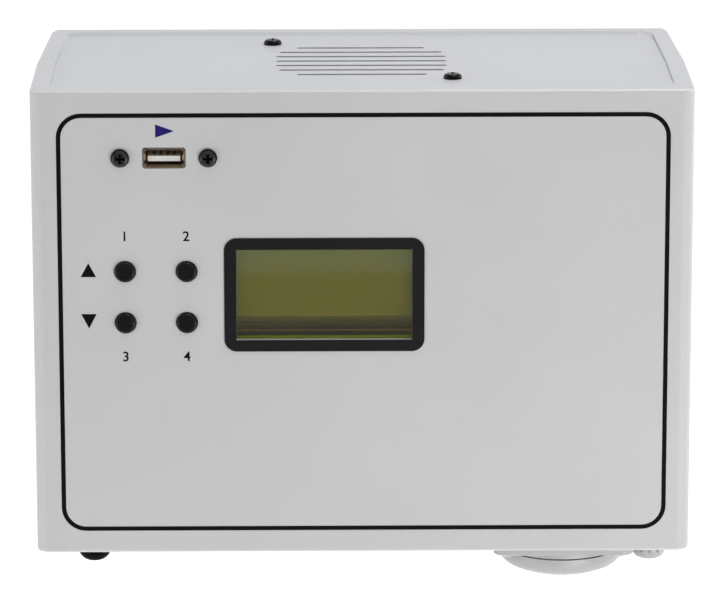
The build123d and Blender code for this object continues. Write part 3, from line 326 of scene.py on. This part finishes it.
# Black border printed behind a polyester overlay: half gloss with a slight orange peel.
border = moulded("overlay_border_black", "#151316", "#110f12", rough=0.4, grain_mm=1.2,
                 relief_mm=0.01, cloud_mm=25, shine=0.15)
# Black ABS from a polished tool: button crowns with a soft, finger-worn gloss.
button_abs = moulded("moulded_abs_black", "#0c0b0d", "#080809", rough=0.3, grain_mm=0.8,
                     relief_mm=0.01, cloud_mm=4, shine=0.2)
# Steel with black oxide: dark and oily, with sharp small glints on the screw heads.
black_steel = metal("black_oxide_steel", "#242325", "#151416", rough=0.16, grain_mm=0.5)
# The same oxide worn by the driver: greyer crowns, with painted shade in the recess and rim so the
# cross stands out dark.
worn_black_steel = metal("worn_black_oxide_steel", "#474648", "#2c2b2d", rough=0.34, grain_mm=0.7)
# Painted shade in the screw recesses and round their rims.
paint_recess_shade(worn_black_steel, "usb_screws", 0.36, "#0e0d0f")
# Zinc-plated steel: bright, with the slightly mottled look of its passivation.
zinc_steel = metal("zinc_plated_steel", "#c4c3bd", "#a5a49f", rough=0.28, grain_mm=0.9)
# Nickel-plated strip, drawn along its length: a clean mirror with long soft streaks.
nickel = metal("nickel_plated_strip", "#cdc8bf", "#b2aca2", rough=0.22, grain_mm=0.4,
               stretch=(1, 0.2, 1))
# Thin nickel over bronze strip: the bronze shows through and warms the socket's shell.
thin_nickel = metal("thin_nickel_over_bronze", "#c2ae94", "#9c8870", rough=0.2, grain_mm=0.4,
                    stretch=(1, 0.2, 1))
# Gold flash on copper: deep warm yellow, gone dull where the plug has rubbed it.
gold = metal("gold_flashed_contacts", "#7d6230", "#5f4720", rough=0.3)
# Turned brass: yellow, with fine rings from the lathe.
brass = metal("turned_brass", "#c9a75a", "#a8863f", rough=0.3, stretch=(1, 1, 8))
# Glass-filled insulator: plain white with the faint speckle of its fibres.
white_insulator = moulded("moulded_white_insulator", "#e6e5e2", "#d9d8d5", rough=0.45,
                          grain_mm=0.3, relief_mm=0.01, cloud_mm=5)
# Pale grey nylon of the outlet and its lid: a touch glossier and greener than the case.
outlet_nylon = moulded("moulded_nylon_pale_grey", "#bcbebd", "#b4b6b5", rough=0.36,
                       grain_mm=0.6, relief_mm=0.015, cloud_mm=20)
# Black phenolic of the fuse holder: deep black, dull and dry.
black_phenolic = moulded("moulded_phenolic_black", "#060606", "#030303", rough=0.55,
                         relief_mm=0.02, cloud_mm=6, shine=0.05)
# Pale grey nylon of the cable gland: waxier and flatter than the outlet's.
gland_nylon = moulded("moulded_nylon_gland", "#b8babb", "#b0b2b3", rough=0.42,
                      relief_mm=0.02, cloud_mm=8)
# Cast acrylic pane: clear, yellowed a little with age, with a hard mirror gloss.
pane = clear("acrylic_pane", "#eceecb", rough=0.006, ior=1.49)
# Drawn glass tube of the fuse: clear and faintly green, with long soft reflections.
tube_glass = clear("drawn_glass_tube", "#f2f6f4", rough=0.01, ior=1.5)
# Green solder lacquer over glass-fibre board: glossy, and the weave just shows through.
lacquer = moulded("solder_lacquer_green", "#1d5a30", "#12421f", rough=0.3, grain_mm=0.6,
                  relief_mm=0.02, cloud_mm=12)
# Black-painted pressed steel: a thin coat with a slight orange peel.
painted_steel = moulded("painted_steel_black", "#262628", "#1a1a1c", rough=0.4, grain_mm=0.4,
                        relief_mm=0.02, cloud_mm=10)
# Black pressed paper of the loudspeaker's cone: soft, fibrous and without any shine.
pressed_paper = moulded("pressed_paper_black", "#2a2927", "#1b1a19", rough=0.85, grain_mm=0.35,
                        relief_mm=0.08, cloud_mm=6)
# Sintered ferrite, ground flat: dark grey with a stony half gloss.
ferrite = moulded("ground_ferrite", "#3a3a3c", "#2b2b2d", rough=0.45, grain_mm=0.3,
                  relief_mm=0.02, cloud_mm=5)
# Lacquered transformer plates: dark steel, striped where one plate lies on the next.
plates = metal("lacquered_steel_plates", "#6d6c6b", "#3d3c3b", rough=0.4, grain_mm=0.5,
               stretch=(0.1, 0.1, 2))
# Yellow polyester tape round the coils: glossy film with shallow wrinkles.
coil_tape = moulded("polyester_tape_yellow", "#c79b2c", "#b1861f", rough=0.25, grain_mm=1.5,
                    relief_mm=0.02, cloud_mm=10)
# Extruded aluminium: pale and silky, with fine lines drawn by the die.
extrusion = metal("extruded_aluminium", "#c5c6c8", "#a9abad", rough=0.35, grain_mm=0.5,
                  stretch=(1, 0.1, 1))
# Dark blue shrink sleeve of the capacitors: glossy, drawn tight over the can.
sleeve = moulded("shrink_sleeve_blue", "#1b2450", "#131a3c", rough=0.25, grain_mm=1.0,
                 relief_mm=0.01, cloud_mm=6)
# Blue polyester case of the relay: smooth, with a clean half gloss.
relay_blue = moulded("moulded_relay_blue", "#2b4f8f", "#23417a", rough=0.3, grain_mm=0.6,
                     relief_mm=0.01, cloud_mm=8)
# Green nylon of the terminal block: satin, a little cloudy.
terminal_green = moulded("moulded_terminal_green", "#2f8047", "#266b3a", rough=0.4,
                         relief_mm=0.02, cloud_mm=6)
# Grey vinyl of the flat cable: dull and rubbery, shaded from wire to wire.
ribbon_grey = moulded("flat_cable_grey", "#a5a6a8", "#8f9092", rough=0.5, grain_mm=0.6,
                      cloud_mm=3)
# Yellow-green acrylic of the unlit back light: smooth and evenly tinted.
light_guide = moulded("light_guide_yellow_green", "#a9b84a", "#93a338", rough=0.3,
                      grain_mm=0.6, relief_mm=0.01, cloud_mm=10)
# Lacquered frame and polariser of the display, described where they are made.
limb = lacquered_limb()
display_olive = polariser()

FINISHES = {
    case_abs: ("front_housing", "rear_cover"),
    border: ("display_bezel",),
    pane: ("display_window",),
    limb: ("display_metal_frame",),
    painted_steel: ("speaker_frame",),
    display_olive: ("display_glass",),
    light_guide: ("display_back_light",),
    lacquer: ("display_board", "key_board", "main_board"),
    zinc_steel: ("board_screws", "speaker_back_plate", "speaker_nuts", "outlet_screws",
                 "transformer_bracket", "transformer_screws"),
    button_abs: ("up_button", "down_button", "menu_button", "ok_button"),
    black_phenolic: ("key_switches", "usb_body", "fuse_holder", "fuse_holder_nut", "fuse_cap",
                     "line_socket_insulator", "board_chips", "coin_cell_holder", "ribbon_plugs"),
    black_steel: ("speaker_screws", "rear_cover_screws"),
    worn_black_steel: ("usb_screws",),
    thin_nickel: ("usb_shell",),
    nickel: ("outlet_earth_clips", "outlet_hinge_pin", "outlet_lid_spring",
             "fuse_ends", "line_socket", "coin_cell"),
    white_insulator: ("usb_tongue",),
    gold: ("usb_contacts",),
    pressed_paper: ("speaker_cone", "speaker_edge_ring"),
    ferrite: ("speaker_magnet",),
    outlet_nylon: ("outlet_body", "outlet_lid"),
    brass: ("outlet_contacts",),
    tube_glass: ("fuse_glass",),
    gland_nylon: ("gland_body", "gland_cap", "gland_lock_nut"),
    plates: ("transformer_core",),
    coil_tape: ("transformer_winding",),
    extrusion: ("heat_sink",),
    sleeve: ("capacitors",),
    relay_blue: ("relay",),
    terminal_green: ("terminal_block",),
    ribbon_grey: ("display_ribbon",),
}
BODY_OF = {name: body for body, names in frame["record"]["behaviour"]["bodies"].items()
           for name in names}
# Nodes whose curved faces show: each gets a welded, smoothly shaded stand-in.
CURVED = ("front_housing", "rear_cover", "up_button", "down_button", "menu_button", "ok_button",
          "usb_screws", "speaker_screws", "rear_cover_screws", "usb_shell", "outlet_body",
          "outlet_lid", "fuse_cap", "fuse_holder", "gland_cap", "gland_body", "line_socket",
          "speaker_cone", "speaker_frame", "display_bezel")


# ------------------------------------------------------------------ working on pieces
def deselect():
    """Leave edit mode and let go of everything."""
    if bpy.context.mode != "OBJECT":
        bpy.ops.object.mode_set(mode="OBJECT")
    bpy.ops.object.select_all(action="DESELECT")


def pick(piece):
    """Make one object the only selected and the active one."""
    deselect()
    piece.select_set(True)
    bpy.context.view_layer.objects.active = piece


def settle(location=False, rotation=False, scale=False):
    """Take the active object's place, turn or size into its mesh."""
    bpy.ops.object.transform_apply(location=location, rotation=rotation, scale=scale)


def finish_piece(piece, name, material, body):
    """Bake the object's place into its mesh, name it, dress it and let it ride."""
    pick(piece)
    settle(location=True, rotation=True, scale=True)
    piece.name = name
    piece.data.name = name
    piece.data.materials.clear()
    piece.data.materials.append(material)
    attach(piece, body)


def weld(distance):
    """Join the active mesh's points that lie closer than this, and stay in edit mode."""
    bpy.ops.object.mode_set(mode="EDIT")
    bpy.ops.mesh.select_all(action="SELECT")
    bpy.ops.mesh.remove_doubles(threshold=distance)


# ------------------------------------------------------------------ stand-ins for the solids
def shift_panel_corners(housing, level, reach):
    """Move the sunk panel's two rear corners back, at its floor or at its rim."""
    bpy.ops.object.mode_set(mode="EDIT")
    bpy.ops.mesh.select_mode(type="VERT")
    bpy.ops.mesh.select_all(action="DESELECT")
    bpy.ops.object.mode_set(mode="OBJECT")
    for vertex in housing.data.vertices:
        x, y = abs(vertex.co.x) / MM, vertex.co.y / MM
        vertex.select = (abs(vertex.co.z - height(level)) < TOUCHING * MM
                         and PANEL_CORNER_X[0] < x < PANEL_CORNER_X[1]
                         and PANEL_CORNER_Y[0] < y < PANEL_CORNER_Y[1])
    bpy.ops.object.mode_set(mode="EDIT")
    bpy.ops.transform.translate(value=(0, reach * MM, 0))
    bpy.ops.object.mode_set(mode="OBJECT")


def shade_evenly(piece):
    """Smooth the curves, keep the crisp edges, and let each vertex follow its largest faces."""
    bpy.ops.object.shade_smooth_by_angle(angle=CRISP_EDGE)
    even = piece.modifiers.new("even_shade", "WEIGHTED_NORMAL")
    even.mode = "FACE_AREA"
    even.weight = 100
    even.keep_sharp = True
    bpy.ops.object.modifier_apply(modifier=even.name)


def dress_nodes():
    """Give every CAD node its finish, and the curved ones a smooth stand-in."""
    for material, names in FINISHES.items():
        for name in names:
            node = frame["nodes"][name]
            if node.material_slots:
                for place in node.material_slots:
                    place.material = material
            else:
                node.data.materials.append(material)
    for name in CURVED:
        node = frame["nodes"][name]
        material = node.material_slots[0].material
        copy = bpy.data.objects.new(name + "_surface", node.data.copy())
        bpy.context.scene.collection.objects.link(copy)
        pick(copy)
        weld(WELD * MM)
        bpy.ops.mesh.dissolve_limited(angle_limit=SAME_FLAT)
        bpy.ops.object.mode_set(mode="OBJECT")
        if name == "front_housing":
            # The panel runs on to a narrow rear rim, and its rear step slopes.
            shift_panel_corners(copy, PANEL_FLOOR, PANEL_FLOOR_REACH)
            shift_panel_corners(copy, PANEL_RIM, PANEL_RIM_REACH)
        shade_evenly(copy)
        finish_piece(copy, name + "_surface", material, BODY_OF[name])
        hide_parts(name)


# ------------------------------------------------------------------ printing on the face
def print_on_face(piece, name, x, z, material):
    """Stand a flat shape up on the front face at x and z, and give it its film of ink."""
    piece.rotation_euler = Euler((math.radians(90), 0, 0))
    piece.location = Vector((x * MM, FRONT * MM, height(z)))
    settle(location=True, rotation=True, scale=True)
    pick(piece)
    film = piece.modifiers.new("film", "SOLIDIFY")
    film.thickness = INK_THICKNESS * MM
    film.offset = 1.0
    bpy.ops.object.modifier_apply(modifier=film.name)
    finish_piece(piece, name, material, BODY)


def frame_line():
    """Printed line round the face: a rounded rectangle, inset to its width."""
    left, right, low, high = FRAME_LINE
    half = FRAME_LINE_WIDTH / 2
    deselect()
    bpy.ops.mesh.primitive_plane_add(size=1)
    piece = bpy.context.object
    piece.scale = ((right - left + 2 * half) * MM, (high - low + 2 * half) * MM, 1)
    settle(scale=True)
    bpy.ops.object.mode_set(mode="EDIT")
    bpy.ops.mesh.select_all(action="SELECT")
    bpy.ops.mesh.bevel(offset=(FRAME_LINE_RADIUS + half) * MM, segments=FRAME_LINE_BEND_STEPS,
                       affect="VERTICES")
    bpy.ops.mesh.select_all(action="SELECT")
    bpy.ops.mesh.inset(thickness=FRAME_LINE_WIDTH * MM)
    bpy.ops.mesh.delete(type="FACE")
    bpy.ops.object.mode_set(mode="OBJECT")
    print_on_face(piece, "frame_line_print", (left + right) / 2, (low + high) / 2, ink)


def triangle(name, x, z, width, tall, turn, material):
    """Printed solid triangle, pointing up and then turned by this many degrees."""
    deselect()
    bpy.ops.mesh.primitive_circle_add(vertices=3, radius=1, fill_type="NGON")
    piece = bpy.context.object
    # In a round of radius 1 the triangle is 1.5 tall and root 3 wide, and its own middle lies a
    # sixth of its height above the round's.
    piece.scale = (width * MM / math.sqrt(3), tall * MM / 1.5, 1)
    piece.location = (0, -tall * MM / 6, 0)
    settle(location=True, scale=True)
    piece.rotation_euler = Euler((0, 0, math.radians(turn)))
    settle(rotation=True)
    print_on_face(piece, name, x, z, material)


def numeral(text, x, z):
    """Printed plain number beside a control. It is filled at a scale of one unit to the
    millimetre, where the small counter of a 4 stays open, and only then brought to size."""
    deselect()
    bpy.ops.object.text_add()
    piece = bpy.context.object
    piece.data.body = text
    piece.data.align_x = "CENTER"
    piece.data.align_y = "CENTER"
    piece.data.size = NUMERAL_TALL / FIGURE_SHARE
    piece.data.offset = NUMERAL_BOLD
    piece.data.resolution_u = 4
    pick(piece)
    bpy.ops.object.convert(target="MESH")
    piece = bpy.context.object
    weld(0.001)
    bpy.ops.object.mode_set(mode="OBJECT")
    piece.scale = (MM, MM, MM)
    print_on_face(piece, "numeral_" + text, x, z, ink)


def prints():
    """All printing on the face."""
    frame_line()
    triangle("up_mark", -94.15, 101.25, width=5.3, tall=4.9, turn=0, material=ink)
    triangle("down_mark", -94.15, 83.15, width=5.3, tall=5.1, turn=180, material=ink)
    triangle("usb_mark", -67.5, 149.9, width=4.6, tall=6.4, turn=-90, material=blue_ink)
    for text, x, z in NUMERALS:
        numeral(text, x, z)


# ------------------------------------------------------------------ room, light and camera
def either(tree, first, second):
    """One where either of two kinds of ray is one."""
    node = add(tree, "ShaderNodeMath", {0: first, 1: second}, operation="MAXIMUM")
    return node.outputs["Value"]


def pale_floor():
    """White matt paint that keeps shadows, lifted to plain white where it is looked at straight,
    in gloss or through glass. From beneath it is clear, so the underside can be looked at."""
    material = bpy.data.materials.new("matt_white_floor")
    material.use_nodes = True
    tree = material.node_tree
    tree.nodes.clear()
    rays = add(tree, "ShaderNodeLightPath").outputs
    looked_at = either(tree, rays["Is Camera Ray"],
                       either(tree, rays["Is Glossy Ray"], rays["Is Transmission Ray"]))
    lift = add(tree, "ShaderNodeMath", {0: looked_at, 1: FLOOR_LIFT}, operation="MULTIPLY")
    paint = add(tree, "ShaderNodeBsdfDiffuse", {"Color": linear("#e8e8e8")})
    glow = add(tree, "ShaderNodeEmission", {"Strength": lift.outputs["Value"]})
    both = add(tree, "ShaderNodeAddShader", {0: paint.outputs["BSDF"],
                                             1: glow.outputs["Emission"]})
    side = add(tree, "ShaderNodeNewGeometry")
    open_below = add(tree, "ShaderNodeBsdfTransparent")
    sheet = add(tree, "ShaderNodeMixShader", {"Fac": side.outputs["Backfacing"],
                                              1: both.outputs["Shader"],
                                              2: open_below.outputs["BSDF"]})
    add(tree, "ShaderNodeOutputMaterial", {"Surface": sheet.outputs["Shader"]})
    return material


def stage():
    """Floor well below the hanging clock."""
    deselect()
    bpy.ops.mesh.primitive_plane_add(size=FLOOR_SIZE, location=FLOOR_PLACE)
    floor = bpy.context.object
    floor.name = "floor"
    floor.data.materials.append(pale_floor())


def world():
    """Even pale room light, white to the camera and through glass. In gloss the room is white
    behind, dimmer in front, and dim low down in front, below the edge of a bluish wall."""
    room = bpy.data.worlds.new("room")
    bpy.context.scene.world = room
    room.use_nodes = True
    tree = room.node_tree
    tree.nodes.clear()
    rays = add(tree, "ShaderNodeLightPath").outputs
    seen = either(tree, rays["Is Camera Ray"], rays["Is Transmission Ray"])
    way = add(tree, "ShaderNodeTexCoord")
    axes = add(tree, "ShaderNodeSeparateXYZ", {"Vector": way.outputs["Generated"]}).outputs
    # How high a direction points, tipped by a tenth of its depth, across the wall's lower edge.
    tilt = add(tree, "ShaderNodeMath", {0: axes["Y"], 1: 0.1, 2: axes["Z"]},
               operation="MULTIPLY_ADD")
    rise = add(tree, "ShaderNodeMapRange", {"Value": tilt.outputs["Value"],
                                            "From Min": -0.36, "From Max": -0.1})
    shade = ramp(tree, rise.outputs["Result"], [
        (0.0, "#565656"), (0.1035, "#5a5a5a"), (0.1045, "#dceaff"), (0.13, "#cbdcf2"),
        (1.0, "#ffffff")])
    # The room in front of the clock is three fifths as bright as the one behind it.
    depth = add(tree, "ShaderNodeMapRange", {"Value": axes["Y"], "From Min": -0.3,
                                             "From Max": 0.3, "To Min": 0.6, "To Max": 1.0})
    even = add(tree, "ShaderNodeBackground", {"Color": linear("#ffffff"), "Strength": ROOM_LIGHT})
    gloss = add(tree, "ShaderNodeBackground", {"Color": shade, "Strength": depth.outputs["Result"]})
    white = add(tree, "ShaderNodeBackground", {"Color": linear("#ffffff"), "Strength": 1.0})
    lit = add(tree, "ShaderNodeMixShader", {"Fac": rays["Is Glossy Ray"],
                                            1: even.outputs["Background"],
                                            2: gloss.outputs["Background"]})
    mix = add(tree, "ShaderNodeMixShader", {"Fac": seen, 1: lit.outputs["Shader"],
                                            2: white.outputs["Background"]})
    add(tree, "ShaderNodeOutputWorld", {"Surface": mix.outputs["Shader"]})


def hang_lamp(name, place, target, size, power, tint):
    """One rectangular soft light, turned towards its target."""
    light = bpy.data.lights.new(name, "AREA")
    light.shape = "RECTANGLE"
    light.size, light.size_y = size
    light.energy = power
    light.color = linear(tint)[:3]
    lamp = bpy.data.objects.new(name, light)
    bpy.context.scene.collection.objects.link(lamp)
    lamp.location = place
    aim = Vector(target) - Vector(place)
    lamp.rotation_euler = aim.to_track_quat("-Z", "Y").to_euler()


def camera():
    """Long lens from above the middle, aimed a little down and to the right."""
    lens = bpy.data.cameras.new("camera")
    lens.sensor_fit = "HORIZONTAL"
    lens.sensor_width = SENSOR
    lens.lens = FOCAL_PIXELS / IMAGE_WIDTH * SENSOR
    lens.shift_x = -(MIDDLE_PIXEL - IMAGE_WIDTH / 2) / IMAGE_WIDTH
    lens.clip_start = 0.05
    lens.clip_end = 50
    view = bpy.data.objects.new("camera", lens)
    bpy.context.scene.collection.objects.link(view)
    forward = Vector((math.sin(YAW) * math.cos(PITCH), math.cos(YAW) * math.cos(PITCH),
                      -math.sin(PITCH)))
    right = Vector((math.cos(YAW), -math.sin(YAW), 0))
    turn = Matrix((right, right.cross(forward), -forward)).transposed()
    view.matrix_world = (Matrix.Translation(Vector(EYE) * MM) @ turn.to_4x4()
                         @ Matrix.Rotation(ROLL, 4, "Z"))
    bpy.context.scene.camera = view


dress_nodes()
prints()
stage()
world()
for lamp in LAMPS:
    hang_lamp(*lamp)
camera()
bpy.context.scene.view_settings.view_transform = "Standard"
